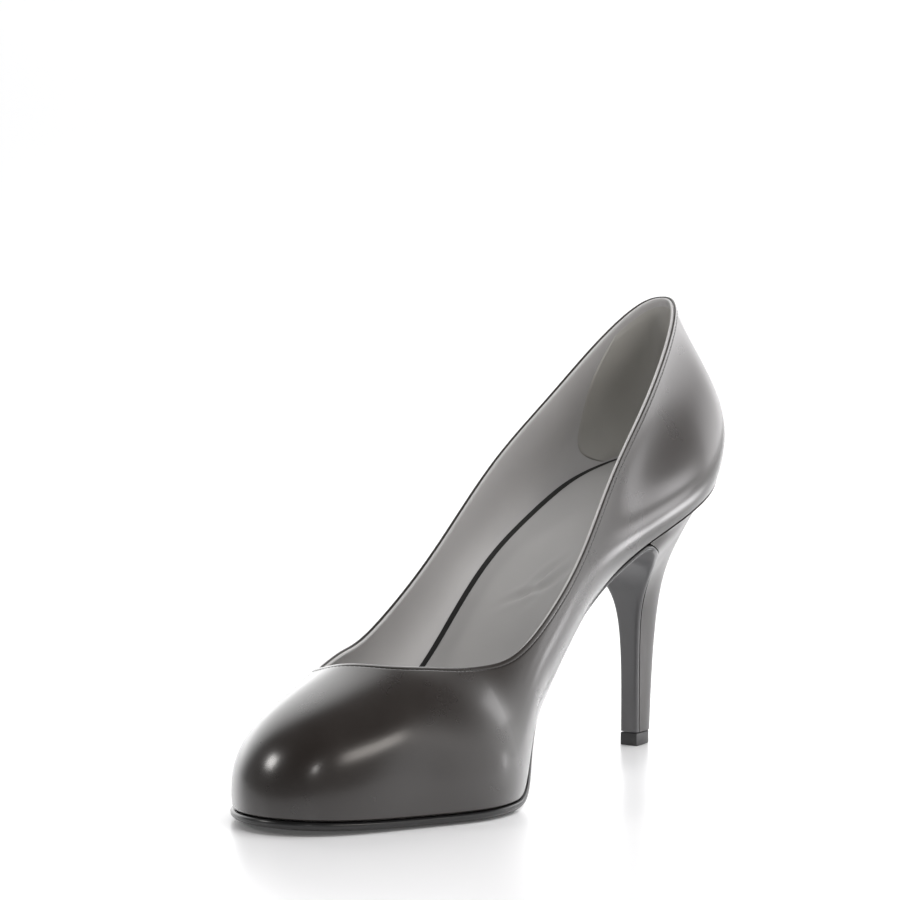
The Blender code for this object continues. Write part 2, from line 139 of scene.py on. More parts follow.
def closed_spline(knots, rows):
    """Smooth closed spline: rows[i] at knots[i], back to rows[0] at knots[-1].

    Hermite cubics join the rows, with speeds solved so that the curvature is continuous.
    """
    count = len(rows)
    step = np.diff(knots)
    matrix = np.zeros((count, count))
    right = np.zeros_like(rows)
    for i in range(count):
        after = (i + 1) % count
        matrix[i, i - 1] += 1.0 / step[i - 1]
        matrix[i, i] += 2.0 / step[i - 1] + 2.0 / step[i]
        matrix[i, after] += 1.0 / step[i]
        right[i] = 3.0 * (rows[i] - rows[i - 1]) / step[i - 1] ** 2
        right[i] += 3.0 * (rows[after] - rows[i]) / step[i] ** 2
    speed = np.linalg.solve(matrix, right)

    def evaluate(t):
        t = np.mod(t, knots[-1])
        i = np.clip(np.searchsorted(knots, t, side="right") - 1, 0, count - 1)
        j = (i + 1) % count
        h = step[i][:, None]
        s = (t - knots[i])[:, None] / h
        start = rows[i] * (2 * s ** 3 - 3 * s ** 2 + 1) + speed[i] * h * (s ** 3 - 2 * s ** 2 + s)
        end = rows[j] * (3 * s ** 2 - 2 * s ** 3) + speed[j] * h * (s ** 3 - s ** 2)
        return start + end

    return evaluate


def rib_loop():
    """The rib table as one closed spline: toe, outer side, heel back, inner side, toe.

    Also gives the ring parameters of the heel back and of the end. Ribs are spaced by distance in plan.
    """
    inner = np.array(INNER_RIBS[::-1])
    inner[:, Rib._fields.index("feather_side")] *= -1.0
    inner[:, Rib._fields.index("top_side")] *= -1.0
    rows = np.vstack([np.array(OUTER_RIBS), inner])
    step = Rib(*np.diff(np.vstack([rows, rows[:1]]), axis=0).T)
    spacing = np.hypot(step.feather_along, step.feather_side)
    spacing += TOPLINE_WEIGHT * np.hypot(step.top_along, step.top_side)
    knots = np.concatenate([[0.0], np.cumsum(spacing)])
    return closed_spline(knots, rows), knots[len(OUTER_RIBS) - 1], knots[-1]


RIB_CURVE, AT_HEEL, AT_END = rib_loop()
INSOLE_CURVE = natural_spline([s.along for s in INSOLE_LINE], [s.height for s in INSOLE_LINE])


def insole_height(along):
    """Height of the insole's top at places along the shoe."""
    return INSOLE_CURVE(along)[..., 0]


def platform_height(along):
    """Top of the platform: an insole's thickness and its clearance under the insole's top."""
    return insole_height(along) - INSOLE - GAP


def platform_share(along):
    """1 at the ball, falling smoothly to 0 where the platform has run out under the arch."""
    gone = np.clip((along - TREAD_BACK) / (PLATFORM_END - TREAD_BACK), 0.0, 1.0)
    return 1.0 - gone * gone * (3.0 - 2.0 * gone)


def feather_height(along):
    """Height of the upper's lower edge: low round the platform, at the insole from the arch back."""
    spring = TOE_SPRING * (np.clip(TREAD_FRONT - along, 0.0, None) / TREAD_FRONT) ** 2
    share = platform_share(along)
    return (SOLE_EDGE + GAP + spring) * share + platform_height(along) * (1.0 - share)


def ribs_at(t):
    """The rib table's columns at ring parameters t."""
    return Rib(*RIB_CURVE(t).T)


def feather(t):
    """Points of the upper's lower edge at ring parameters t: side, along, height."""
    rib = ribs_at(t)
    return np.stack([rib.feather_side, rib.feather_along, feather_height(rib.feather_along)], axis=1)


def topline(t):
    """Points of the upper's top edge at ring parameters t: side, along, height."""
    rib = ribs_at(t)
    return np.stack([rib.top_side, rib.top_along, rib.top_height], axis=1)


def edge_frame(edge, t):
    """Outward direction in plan, and the upward direction square to an edge curve."""
    run = edge(t + TINY) - edge(t - TINY)
    run /= np.linalg.norm(run, axis=1, keepdims=True)
    out = np.stack([run[:, 1], -run[:, 0], np.zeros(len(t))], axis=1)
    out /= np.linalg.norm(out, axis=1, keepdims=True)
    return out, np.cross(out, run)


def upper_surface(t, v):
    """Outside of the upper: for each t a cubic Bezier rib from the feather edge to the topline.

    v runs from 0 to 1 along the rib. Its handles lean out by flare at the foot and in by crown at the top.
    """
    rib = ribs_at(t)
    flare = np.radians(rib.flare)[:, None]
    crown = np.radians(rib.crown)[:, None]
    low = feather(t)
    high = topline(t)
    out_low, up_low = edge_frame(feather, t)
    out_high, up_high = edge_frame(topline, t)
    length = np.linalg.norm(high - low, axis=1, keepdims=True)
    above = low + rib.lift[:, None] * length * (np.sin(flare) * out_low + np.cos(flare) * up_low)
    below = high + rib.reach[:, None] * length * (np.sin(crown) * out_high - np.cos(crown) * up_high)
    v = np.asarray(v, dtype=float)
    v = (v if v.ndim == 2 else v[None])[..., None]
    w = 1.0 - v
    return (low[:, None] * w ** 3 + above[:, None] * 3 * v * w ** 2
            + below[:, None] * 3 * v ** 2 * w + high[:, None] * v ** 3)


def surface_frame(t, v):
    """Points of the upper's outside, their outward normals and the upward direction along the rib.

    The normal is the cross product of the slopes along the ring and along the rib.
    """
    v = np.asarray(v, dtype=float)
    along_ring = upper_surface(t + TINY, v) - upper_surface(t - TINY, v)
    along_rib = upper_surface(t, v + TINY) - upper_surface(t, v - TINY)
    normal = np.cross(along_ring, along_rib)
    normal /= np.linalg.norm(normal, axis=2, keepdims=True)
    rise = along_rib / np.linalg.norm(along_rib, axis=2, keepdims=True)
    return upper_surface(t, v), normal, rise


def end_speeds(t):
    """Millimetres per share v at a rib's foot and top: three times the length of its handles there."""
    rib = ribs_at(t)
    length = np.linalg.norm(topline(t) - feather(t), axis=1)
    return 3.0 * (rib.lift * length)[:, None], 3.0 * (rib.reach * length)[:, None]


def rib_shares(t, low_distances, high_distances, middle):
    """Shares v along each rib: by millimetres from the feather edge and from the topline, even between."""
    speed_low, speed_high = end_speeds(t)
    low = np.asarray(low_distances)[None] / speed_low
    high = 1.0 - np.asarray(high_distances)[None] / speed_high
    between = np.linspace(0.0, 1.0, middle + 2)[1:-1][None]
    return np.concatenate([low, low[:, -1:] * (1 - between) + high[:, :1] * between, high], axis=1)


def grid_faces(rows, columns, wrap_rows, wrap_columns):
    """Quads between neighbouring points of a grid of rows by columns."""
    i = np.arange(rows if wrap_rows else rows - 1)
    j = np.arange(columns if wrap_columns else columns - 1)
    i, j = np.meshgrid(i, j, indexing="ij")
    after_i = (i + 1) % rows
    after_j = (j + 1) % columns
    corners = [i * columns + j, after_i * columns + j, after_i * columns + after_j, i * columns + after_j]
    return np.stack(corners, axis=-1).reshape(-1, 4).tolist()


def shoe_piece(name, points, faces, material, sharp_degrees=60.0):
    """Mesh object from points in the shoe's millimetres, doubles merged, faces turned outwards."""
    places = (np.asarray(points).reshape(-1, 3) - [MIDDLE_SIDE, MIDDLE_ALONG, 0.0]) * MM
    mesh = bpy.data.meshes.new(name)
    mesh.from_pydata(places.tolist(), [], faces)
    work = bmesh.new()
    work.from_mesh(mesh)
    bmesh.ops.remove_doubles(work, verts=work.verts, dist=MERGE)
    bmesh.ops.dissolve_degenerate(work, edges=work.edges, dist=SLIVER)
    bmesh.ops.recalc_face_normals(work, faces=work.faces)
    work.to_mesh(mesh)
    work.free()
    mesh.shade_smooth()
    mesh.set_sharp_from_angle(angle=np.radians(sharp_degrees))
    mesh.materials.append(material)
    piece = bpy.data.objects.new(name, mesh)
    bpy.context.scene.collection.objects.link(piece)
    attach(piece, "root")
    return piece


def clouded(name, dark, light, scale, detail):
    """Material whose colour is clouded between dark and light by noise, scale being patterns per metre.

    Returns the material, its shader, the place socket and the noise socket.
    """
    material = bpy.data.materials.new(name)
    material.use_nodes = True
    nodes = material.node_tree.nodes
    links = material.node_tree.links
    shader = nodes["Principled BSDF"]
    place = nodes.new("ShaderNodeTexCoord").outputs["Object"]
    clouds = nodes.new("ShaderNodeTexNoise")
    clouds.inputs["Scale"].default_value = scale
    clouds.inputs["Detail"].default_value = detail
    links.new(place, clouds.inputs["Vector"])
    tint = nodes.new("ShaderNodeMix")
    tint.data_type = "RGBA"
    tint.inputs[6].default_value = (*dark, 1.0)
    tint.inputs[7].default_value = (*light, 1.0)
    links.new(clouds.outputs["Fac"], tint.inputs[0])
    links.new(tint.outputs[2], shader.inputs["Base Color"])
    return material, shader, place, clouds.outputs["Fac"]


def leather(name, dark, light, roughness, cloud=70.0, grain=1500.0, grain_depth=0.00003):
    """Leather finish: colour clouded between dark and light, wandering roughness and a fine pebbled grain.

    cloud and grain are patterns per metre, grain_depth is in metres. Returns the material and its shader.
    """
    material, shader, place, clouds = clouded(name, dark, light, cloud, CLOUD_DETAIL)
    nodes = material.node_tree.nodes
    links = material.node_tree.links

    gloss = nodes.new("ShaderNodeMapRange")
    gloss.inputs["From Min"].default_value = CLOUD_LOW
    gloss.inputs["From Max"].default_value = CLOUD_HIGH
    gloss.inputs["To Min"].default_value = roughness[0]
    gloss.inputs["To Max"].default_value = roughness[1]
    links.new(clouds, gloss.inputs["Value"])
    links.new(gloss.outputs["Result"], shader.inputs["Roughness"])

    pebble = nodes.new("ShaderNodeTexNoise")
    pebble.inputs["Scale"].default_value = grain
    pebble.inputs["Detail"].default_value = GRAIN_DETAIL
    links.new(place, pebble.inputs["Vector"])
    bump = nodes.new("ShaderNodeBump")
    bump.inputs["Strength"].default_value = 1.0
    bump.inputs["Distance"].default_value = grain_depth
    links.new(pebble.outputs["Fac"], bump.inputs["Height"])
    links.new(bump.outputs["Normal"], shader.inputs["Normal"])
    return material, shader


RING_STEPS = 240  # ribs on each side, toe to heel
SEAM_OFFSETS = (0.25, 0.5, 0.8, 1.2)  # extra ribs beside the back seam, in ring units
CALF_ROWS = 54  # even rows between the close ones at feather edge and topline
BACK_ROWS = 18  # rows on the flesh side
FOLD_STEPS = 7  # points round the folded edge
FEATHER_TURN = 0.9  # radius of the turn under the foot at the toe
SEAT_TURN = 0.3  # and where the calf meets waist and heel
STITCH_BELOW = 1.35  # millimetres from the topline to its row of stitches
STITCH_DIP = 0.1
STITCH_DIP_WIDTH = 0.2
SEAM_DIP = 0.2
SEAM_WIDTH = 0.55
FOLD_SWELL = 0.04  # the folded edge above the stitches is a little fuller
FOLD_BELOW = 0.7  # most at this distance from the topline
FOLD_WIDTH = 0.4

# Close rows near both edges, in millimetres from the edge.
FEATHER_DISTANCES = (0.0, 0.04, 0.12, 0.22, 0.36, 0.55, 0.75, 0.95, 1.4, 2.2)
TOPLINE_DISTANCES = (4.5, 3.2, 2.4, 1.9, 1.65, 1.5, 1.42, 1.35, 1.28, 1.2, 1.05, 0.8, 0.4, 0.0)

CALF_DARK = (0.018, 0.0142, 0.0125)
CALF_LIGHT = (0.027, 0.0218, 0.0195)
CALF_ROUGHNESS = (0.26, 0.34)
CALF_GRAIN = 1300.0
CALF_GRAIN_DEPTH = 0.0000025
CALF_COAT = 0.9
CALF_COAT_ROUGHNESS = 0.2
CALF_SHEEN = 0.12
CALF_SHEEN_ROUGHNESS = 0.45

beside_seam = np.array(SEAM_OFFSETS)
ring = np.unique(np.concatenate([
    np.linspace(0.0, AT_HEEL, RING_STEPS, endpoint=False),
    np.linspace(AT_HEEL, AT_END, RING_STEPS, endpoint=False),
    AT_HEEL - beside_seam, AT_HEEL + beside_seam]))


def calf_relief(t, v):
    """Outward height of the calf over the plain form, in millimetres.

    A quarter circle turns in at the feather edge. Bell curves give the dips of the stitch row and the back
    seam, and the swell of the fold.
    """
    speed_low, speed_high = end_speeds(t)
    radius = (SEAT_TURN + (FEATHER_TURN - SEAT_TURN) * platform_share(ribs_at(t).feather_along))[:, None]
    up = np.clip(v * speed_low, 0.0, radius)
    turn = radius - np.sqrt(radius ** 2 - (radius - up) ** 2)
    down = (1.0 - v) * speed_high
    stitch = STITCH_DIP * np.exp(-((down - STITCH_BELOW) / STITCH_DIP_WIDTH) ** 2)
    fold = FOLD_SWELL * np.exp(-((down - FOLD_BELOW) / FOLD_WIDTH) ** 2)
    seam = SEAM_DIP * np.exp(-((t - AT_HEEL) / SEAM_WIDTH) ** 2)[:, None]
    return fold - turn - stitch - seam


def rounded_top(t, outer_depth, inner_depth, steps, drop):
    """Half circle over the wall's top edge from one depth to another, lowered by drop."""
    top = np.full((len(t), 1), 1.0)
    edge, normal, rise = surface_frame(t, top)
    radius = 0.5 * (inner_depth - outer_depth)
    angle = np.linspace(0.0, np.pi, steps)[None, :, None]
    centre = edge - normal * (outer_depth + radius) - drop * rise
    return centre + radius * (np.cos(angle) * normal + np.sin(angle) * rise)


# Each rib's loop of points runs up the outside, round the folded edge and down the flesh side.
outside_v = rib_shares(ring, FEATHER_DISTANCES, TOPLINE_DISTANCES, CALF_ROWS)
skin, skin_normal, _ = surface_frame(ring, outside_v)
skin = skin + calf_relief(ring, outside_v)[..., None] * skin_normal
back, back_normal, _ = surface_frame(ring, np.linspace(1.0, 0.0, BACK_ROWS))
back = back - LEATHER * back_normal
folded_edge = rounded_top(ring, 0.0, LEATHER, FOLD_STEPS, 0.0)
calf_wall = np.concatenate([skin[:, :-1], folded_edge, back[:, 1:]], axis=1)
calf, calf_shader = leather("dark_calf", CALF_DARK, CALF_LIGHT, CALF_ROUGHNESS, grain=CALF_GRAIN,
                            grain_depth=CALF_GRAIN_DEPTH)
calf_shader.inputs["Coat Weight"].default_value = CALF_COAT
calf_shader.inputs["Coat Roughness"].default_value = CALF_COAT_ROUGHNESS
calf_shader.inputs["Sheen Weight"].default_value = CALF_SHEEN
calf_shader.inputs["Sheen Roughness"].default_value = CALF_SHEEN_ROUGHNESS
upper_leather = shoe_piece("upper_leather", calf_wall, grid_faces(*calf_wall.shape[:2], True, True), calf)
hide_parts("upper")

# Lining
# Grey lining leather glued to the inside of the upper, from the topline down past the insole.
# Its top edge is rolled over beside the folded calf and lies a little lower.

LINING_DROP = 0.3  # its rolled edge lies this much under the calf's
GLUE = 0.04  # between calf and lining
ROLL_STEPS = 8  # points round the rolled edge
HIDDEN_ROWS = 14  # rows on the glued side

# Rows of the shown side as shares of the wall's height: close under the topline, wider below.
LINING_SHARES = np.concatenate([np.linspace(1.0, 0.9, 7), np.linspace(0.88, 0.0, 36)])

LINING_DARK = (0.47, 0.462, 0.46)
LINING_LIGHT = (0.56, 0.55, 0.547)
LINING_ROUGHNESS = (0.42, 0.52)

face, face_normal, _ = surface_frame(ring, LINING_SHARES)
face = face - WALL * face_normal
hidden, hidden_normal, _ = surface_frame(ring, np.linspace(0.0, 1.0, HIDDEN_ROWS))
hidden = hidden - (LEATHER + GLUE) * hidden_normal
roll = rounded_top(ring, LEATHER + GLUE, WALL, ROLL_STEPS, LINING_DROP)
lining_wall = np.concatenate([roll[:, :-1], face[:, 1:], hidden[:, :-1]], axis=1)
lining, _ = leather("grey_lining", LINING_DARK, LINING_LIGHT, LINING_ROUGHNESS, cloud=45.0, grain=1900.0)
lining_faces = grid_faces(*lining_wall.shape[:2], True, True)
upper_lining = shoe_piece("upper_lining", lining_wall, lining_faces, lining)
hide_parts("upper")

# Heel grip
# A piece of softer, slightly brown-grey leather glued over the lining round the back of the heel,
# with a rounded front edge on both sides, so that the heel of the foot does not slip.

GRIP_HALF = 53.0  # ring units from the back seam to the grip's front edge
GRIP_LOW = 0.04  # lower and upper edge as shares of the wall's height
GRIP_HIGH = 0.955
GRIP_BOW = 0.3  # how far the front edge draws back at its corners
GRIP_LIFT = 0.05  # the thinned edge stands off the lining by this much
GRIP_THICK = 0.25
GRIP_SUNK = 0.3  # its hidden side lies this deep in the lining
GRIP_ROUND = 0.02  # width of the rounded front edge, as a share of the half width
GRIP_ROUND_RISE = 0.6  # widens the rounding of the lower and upper edge
GRIP_ROWS = 40
GRIP_COLUMNS = 121

GRIP_DARK = (0.42, 0.41, 0.385)
GRIP_LIGHT = (0.5, 0.49, 0.46)
GRIP_ROUGHNESS = (0.55, 0.68)


def cap_faces(first, width, steps):
    """Quads across the end loop that starts at point first: its one side joined to the other."""
    return [(first + k, first + k + 1, first + width - 2 - k, first + width - 1 - k) for k in range(steps)]


# The half width is full at mid height and falls with the fourth power of the height towards both corners.
grip_v = np.linspace(GRIP_LOW, GRIP_HIGH, GRIP_ROWS)
across_grip = np.linspace(-1.0, 1.0, GRIP_COLUMNS)[:, None]
grip_reach = GRIP_HALF * (1.0 - GRIP_BOW * (2.0 * np.linspace(0.0, 1.0, GRIP_ROWS) - 1.0) ** 4)
grip_t = AT_HEEL + across_grip * grip_reach[None]
grip_shares = np.broadcast_to(grip_v, grip_t.shape)
flat_place, flat_normal, _ = surface_frame(grip_t.ravel(), grip_shares.reshape(-1, 1))
grip_place = flat_place.reshape(*grip_t.shape, 3)
grip_normal = flat_normal.reshape(*grip_t.shape, 3)
near_edge = np.minimum(1.0 - np.abs(across_grip),
                       GRIP_ROUND_RISE * np.minimum(grip_v - GRIP_LOW, GRIP_HIGH - grip_v)[None])
swell = np.clip(near_edge / GRIP_ROUND, 0.0, 1.0)
grip_depth = WALL + GRIP_LIFT + GRIP_THICK * np.sqrt(1.0 - (1.0 - swell) ** 2)
grip_face = grip_place - grip_depth[..., None] * grip_normal
grip_back = grip_place - (WALL - GRIP_SUNK) * grip_normal
grip_loops = np.concatenate([grip_face, grip_back[:, ::-1]], axis=1)
count, width = grip_loops.shape[:2]
grip_faces = grid_faces(count, width, False, True)
grip_faces += cap_faces(0, width, GRIP_ROWS - 1)
grip_faces += cap_faces((count - 1) * width, width, GRIP_ROWS - 1)
grip_leather, _ = leather("brown_grey_grip", GRIP_DARK, GRIP_LIGHT, GRIP_ROUGHNESS, cloud=60.0,
                          grain=1600.0, grain_depth=0.00002)
heel_grip = shoe_piece("heel_grip", grip_loops, grip_faces, grip_leather)
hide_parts("upper")

# Topline stitches
# Dark waxed thread in short even stitches, sewn through calf and lining just under the folded edge.
# Each stitch is pulled well into the leather.

STITCH_PITCH = 1.7
STITCH_LENGTH = 1.3
STITCH_SIDES = 6  # points round the thread
SEAM_POINTS = 1600  # points of the path the stitches follow
LOOK_AHEAD = 0.2  # millimetres, for the path's direction
NO_LENGTH = 1e-9  # keeps a vector of no length from dividing by nothing
THREAD_RADIUS = 0.13
THREAD_SUNK = 0.09  # the thread's middle lies this far under the plain form
THREAD_DARK = (0.0084, 0.0077, 0.0077)
THREAD_LIGHT = (0.0156, 0.0143, 0.0143)
THREAD_FLECKS = 2500.0  # per metre
THREAD_ROUGHNESS = 0.55

# One stitch: places along it as shares of its length, and its radius there as shares of the thread's.
CAPSULE_AT = np.array([-0.5, -0.46, -0.38, 0.0, 0.38, 0.46, 0.5])
CAPSULE_RADIUS = np.array([0.05, 0.55, 0.9, 1.0, 0.9, 0.55, 0.05])


def stitches(path, outward, pitch, length, radius):
    """Thread capsules spaced evenly along a closed path.

    Each is a row of rings round the path, whose radius follows a half circle at both ends.
    """
    step = np.linalg.norm(np.diff(path, axis=0), axis=1)
    run = np.concatenate([[0.0], np.cumsum(step)])
    count = int(run[-1] // pitch)
    stitch_at = (np.arange(count) + 0.5) * run[-1] / count
    place = stitch_at[:, None] + length * CAPSULE_AT[None]

    def along_path(places, values):
        return np.stack([np.interp(places, run, values[:, k]) for k in range(3)], axis=-1)

    centre = along_path(place, path)
    out = along_path(place, outward)
    ahead = along_path(place + LOOK_AHEAD, path) - centre
    ahead /= np.linalg.norm(ahead, axis=-1, keepdims=True) + NO_LENGTH
    across = np.cross(out, ahead)
    across /= np.linalg.norm(across, axis=-1, keepdims=True) + NO_LENGTH
    angle = np.arange(STITCH_SIDES) * 2.0 * np.pi / STITCH_SIDES
    wheel = np.cos(angle)[:, None] * out[:, :, None] + np.sin(angle)[:, None] * across[:, :, None]
    points = centre[:, :, None] + radius * CAPSULE_RADIUS[None, :, None, None] * wheel
    size = len(CAPSULE_AT) * STITCH_SIDES
    one = np.array(grid_faces(len(CAPSULE_AT), STITCH_SIDES, False, True))
    faces = (one[None] + size * np.arange(count)[:, None, None]).reshape(-1, 4).tolist()
    ends = (range(STITCH_SIDES), range(size - STITCH_SIDES, size))
    faces += [tuple(size * k + i for i in end) for k in range(count) for end in ends]
    return points, faces


seam_ring = np.linspace(0.0, AT_END, SEAM_POINTS)
seam_v = rib_shares(seam_ring, (0.0,), (STITCH_BELOW,), 0)[:, 1:]
seam_point, seam_normal, _ = surface_frame(seam_ring, seam_v)
seam_path = (seam_point - THREAD_SUNK * seam_normal)[:, 0]
points, faces = stitches(seam_path, seam_normal[:, 0], STITCH_PITCH, STITCH_LENGTH, THREAD_RADIUS)
thread, thread_shader, _, _ = clouded("dark_thread", THREAD_DARK, THREAD_LIGHT, THREAD_FLECKS, GRAIN_DETAIL)
thread_shader.inputs["Roughness"].default_value = THREAD_ROUGHNESS
topline_thread = shoe_piece("topline_thread", points, faces, thread)

# Insole board
# Stiff board under the foot, to which the upper is lasted and the sole is glued.
# Its edge and upper rim are blackened, so it shows as a dark line beside the sock.

SIDE_STATIONS = 150
RIB_RUN_ON = -0.1  # the wall's inside is looked up from below the feather edge
RIB_LOOKUP_END = 0.8  # to this share of the wall's height
FINE_STEPS = 80  # in this many places
RING_PLACES = 4000  # ring places for finding a rib by its place along
SOCK = 0.75  # the sock stands this much over the board

BOARD_DARK = (0.006, 0.006, 0.006)
BOARD_LIGHT = (0.012, 0.012, 0.012)
BOARD_ROUGHNESS = (0.5, 0.6)


def inside_ring(t, height):
    """Where the wall's inner face, with its clearance, passes a height that depends on the place along."""
    shares = np.linspace(RIB_RUN_ON, RIB_LOOKUP_END, FINE_STEPS)
    outside, normal, _ = surface_frame(t, shares)
    ribs = outside - (WALL + GAP) * normal
    over = ribs[:, :, 2] - height(ribs[:, :, 1])
    rows = np.arange(len(t))
    first = np.maximum(np.argmax(over >= 0.0, axis=1), 1)
    low = over[rows, first - 1]
    high = over[rows, first]
    share = np.clip(low / (low - high), 0.0, 1.0)[:, None]
    found = ribs[rows, first - 1] * (1.0 - share) + ribs[rows, first] * share
    found[:, 2] = height(found[:, 1])
    return found


def ring_place(along, toe):
    """Ring parameters of the ribs that stand at places along, on the side that starts at this toe end."""
    dense = np.linspace(toe, AT_HEEL, RING_PLACES)
    return np.interp(along, np.maximum.accumulate(ribs_at(dense).feather_along), dense)


def side_parameters(stop_along, steps):
    """Matching ring parameters on the outer and inner side, from the toe tip to a place along."""
    stop = AT_HEEL if stop_along is None else ring_place(stop_along, 0.0)
    outer = np.linspace(0.0, stop, steps + 1)
    inner = ring_place(ribs_at(outer).feather_along, AT_END)
    inner[0] = AT_END
    if stop_along is None:
        inner[-1] = AT_HEEL
    return outer, inner


def board_top(along):
    """Top of the board: a sock's thickness under the insole's top."""
    return insole_height(along) - SOCK


def board_base(along):
    """Underside of the board: the whole insole's thickness under its top."""
    return insole_height(along) - INSOLE


outer_t, inner_t = side_parameters(None, SIDE_STATIONS)
board_loops = np.stack([inside_ring(outer_t, board_base), inside_ring(outer_t, board_top),
                        inside_ring(inner_t, board_top), inside_ring(inner_t, board_base)], axis=1)
board_faces = grid_faces(*board_loops.shape[:2], False, True)
board_leather, _ = leather("black_board", BOARD_DARK, BOARD_LIGHT, BOARD_ROUGHNESS)
insole_board = shoe_piece("insole_board", board_loops, board_faces, board_leather, sharp_degrees=30.0)
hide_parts("insole")

# Sock
# Soft grey lining leather over the board, from toe to heel, cut a little short of the wall.
# It is slightly padded, and the arch has a few soft creases where the leather was pulled down.

SOCK_STATIONS = 380
SOCK_ACROSS = 72
SOCK_LENGTH = 230.0  # over this length the rim left free widens
SOCK_MARGIN_TOE = 2.6  # black rim left free by the sock
SOCK_MARGIN_HEEL = 3.6
MARGIN_POWER = 1.5
SOCK_CROWN = 0.35  # padding in the middle
SOCK_ROUND = 0.6  # width of the rounded edge
SOCK_GLUE = 0.02
NO_WIDTH = 1e-6  # where the two sides meet at toe and heel

SOCK_DARK = (0.325, 0.32, 0.316)
SOCK_LIGHT = (0.385, 0.378, 0.373)
SOCK_ROUGHNESS = (0.3, 0.42)

# Creases: middle, reach along and across, and depth in millimetres; turn from the shoe's length in degrees.
Crease = namedtuple("Crease", "along side length width depth turn")

CREASES = (
    Crease(145.4, -0.8, 6.5, 1.9, 0.85, 60.0),
    Crease(152.0, 1.8, 7.0, 1.8, 0.8, 22.0),
    Crease(150.0, 6.5, 8.0, 2.2, 0.35, 28.0),
)


def crease_height(along, side):
    """Sum of soft troughs with a low ridge on both sides.

    Along a crease the depth is a bell curve; across it, a bell times one less twice the squared distance.
    """
    height = np.zeros_like(along)
    for crease in CREASES:
        turn = np.radians(crease.turn)
        a = along - crease.along
        s = side - crease.side
        run = a * np.cos(turn) + s * np.sin(turn)
        off = (s * np.cos(turn) - a * np.sin(turn)) / crease.width
        bell = np.exp(-(run / crease.length) ** 2)
        height -= crease.depth * bell * (1.0 - 2.0 * off ** 2) * np.exp(-off ** 2)
    return height


# The sock lies between the two sides, short of the wall by its margin, with a parabola across as its crown.
# The creases are added, and its rim falls off with the square of the distance into the rounded edge.
sock_edge = [inside_ring(t, insole_height) for t in side_parameters(None, SOCK_STATIONS)]
middle = 0.5 * (sock_edge[0] + sock_edge[1])
half = 0.5 * (sock_edge[0] - sock_edge[1])
half_length = np.linalg.norm(half, axis=1, keepdims=True)
along_share = np.clip(middle[:, 1:2] / SOCK_LENGTH, 0.0, 1.0)
margin = SOCK_MARGIN_TOE + (SOCK_MARGIN_HEEL - SOCK_MARGIN_TOE) * along_share ** MARGIN_POWER
half = half * np.clip(1.0 - margin / np.maximum(half_length, NO_WIDTH), 0.0, 1.0)
across = np.sin(np.linspace(-0.5, 0.5, SOCK_ACROSS) * np.pi)
sock_top = middle[:, None] + half[:, None] * across[None, :, None]
to_edge = (1.0 - np.abs(across))[None] * np.linalg.norm(half, axis=1)[:, None]
roll_off = np.clip(1.0 - to_edge / SOCK_ROUND, 0.0, 1.0)
sock_top[:, :, 2] = insole_height(sock_top[:, :, 1]) + SOCK_CROWN * (1.0 - across[None] ** 2)
sock_top[:, :, 2] += crease_height(sock_top[:, :, 1], sock_top[:, :, 0])
sock_top[:, :, 2] -= 0.5 * SOCK * roll_off ** 2
sock_under = sock_top[:, ::-1].copy()
sock_under[:, :, 2] = insole_height(sock_under[:, :, 1]) - SOCK + SOCK_GLUE
sock_loops = np.concatenate([sock_top, sock_under], axis=1)
sock_faces = grid_faces(*sock_loops.shape[:2], False, True)
sock_leather, _ = leather("grey_sock", SOCK_DARK, SOCK_LIGHT, SOCK_ROUGHNESS, cloud=35.0, grain=1700.0,
                          grain_depth=0.00002)
insole_sock = shoe_piece("insole_sock", sock_loops, sock_faces, sock_leather)
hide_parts("insole")

# Sole
# Thin black sole leather with a bevelled and polished edge; the platform under the ball is part of it.
# At the end of the arch it turns down and covers the heel breast as a tongue, to the tip.

SOLE_STATIONS = 220
SOLE_WAIST = 2.4  # thickness of the edge under the arch
SOLE_MARGIN = 0.6  # the edge stands out past the upper round the platform
SOLE_TUCK = 1.8  # and lies inside it under the waist, between these places
TUCK_FRONT = 92.0
TUCK_BACK = 172.0
FLAP = 1.4  # thickness of the tongue
TONGUE_NARROW = 4.2  # a half breast under this many thicknesses narrows the tongue's bevel
TONGUE_BACK = (0.6, 1.2)  # hidden points behind its edge, in thicknesses
SEAT_FRONT = 178.0  # where the heel's seat begins and the sole leaves the upper
TURN_REACH = 3.0  # the sole's turn begins and ends this far from there
TURN_PROFILES = 15
HEEL_ARC = 96  # steps round a section of the heel
HEEL_ROUNDNESS = 2.4  # power of the section's superellipse
HEEL_RINGS = 120
SEAT_ROUND = 0.2  # broken edge of the heel's seat

SOLE_DARK = (0.006, 0.006, 0.0063)
SOLE_LIGHT = (0.012, 0.012, 0.0125)
SOLE_ROUGHNESS = (0.3, 0.4)
SOLE_COAT = 0.4
SOLE_COAT_ROUGHNESS = 0.12
# Painted reflection: the tongue's grey stands in for the bright surround mirrored in the black sole leather.
TONGUE_REFLECTION_DARK = (0.095, 0.095, 0.098)
TONGUE_REFLECTION_LIGHT = (0.125, 0.125, 0.128)
REFLECTION_BEFORE = 1.0  # the tongue's colour comes in from before the seat's front to after it
REFLECTION_AFTER = 3.0

HeelSection = namedtuple("HeelSection", "front_along front_height back_along back_height half_width centre")

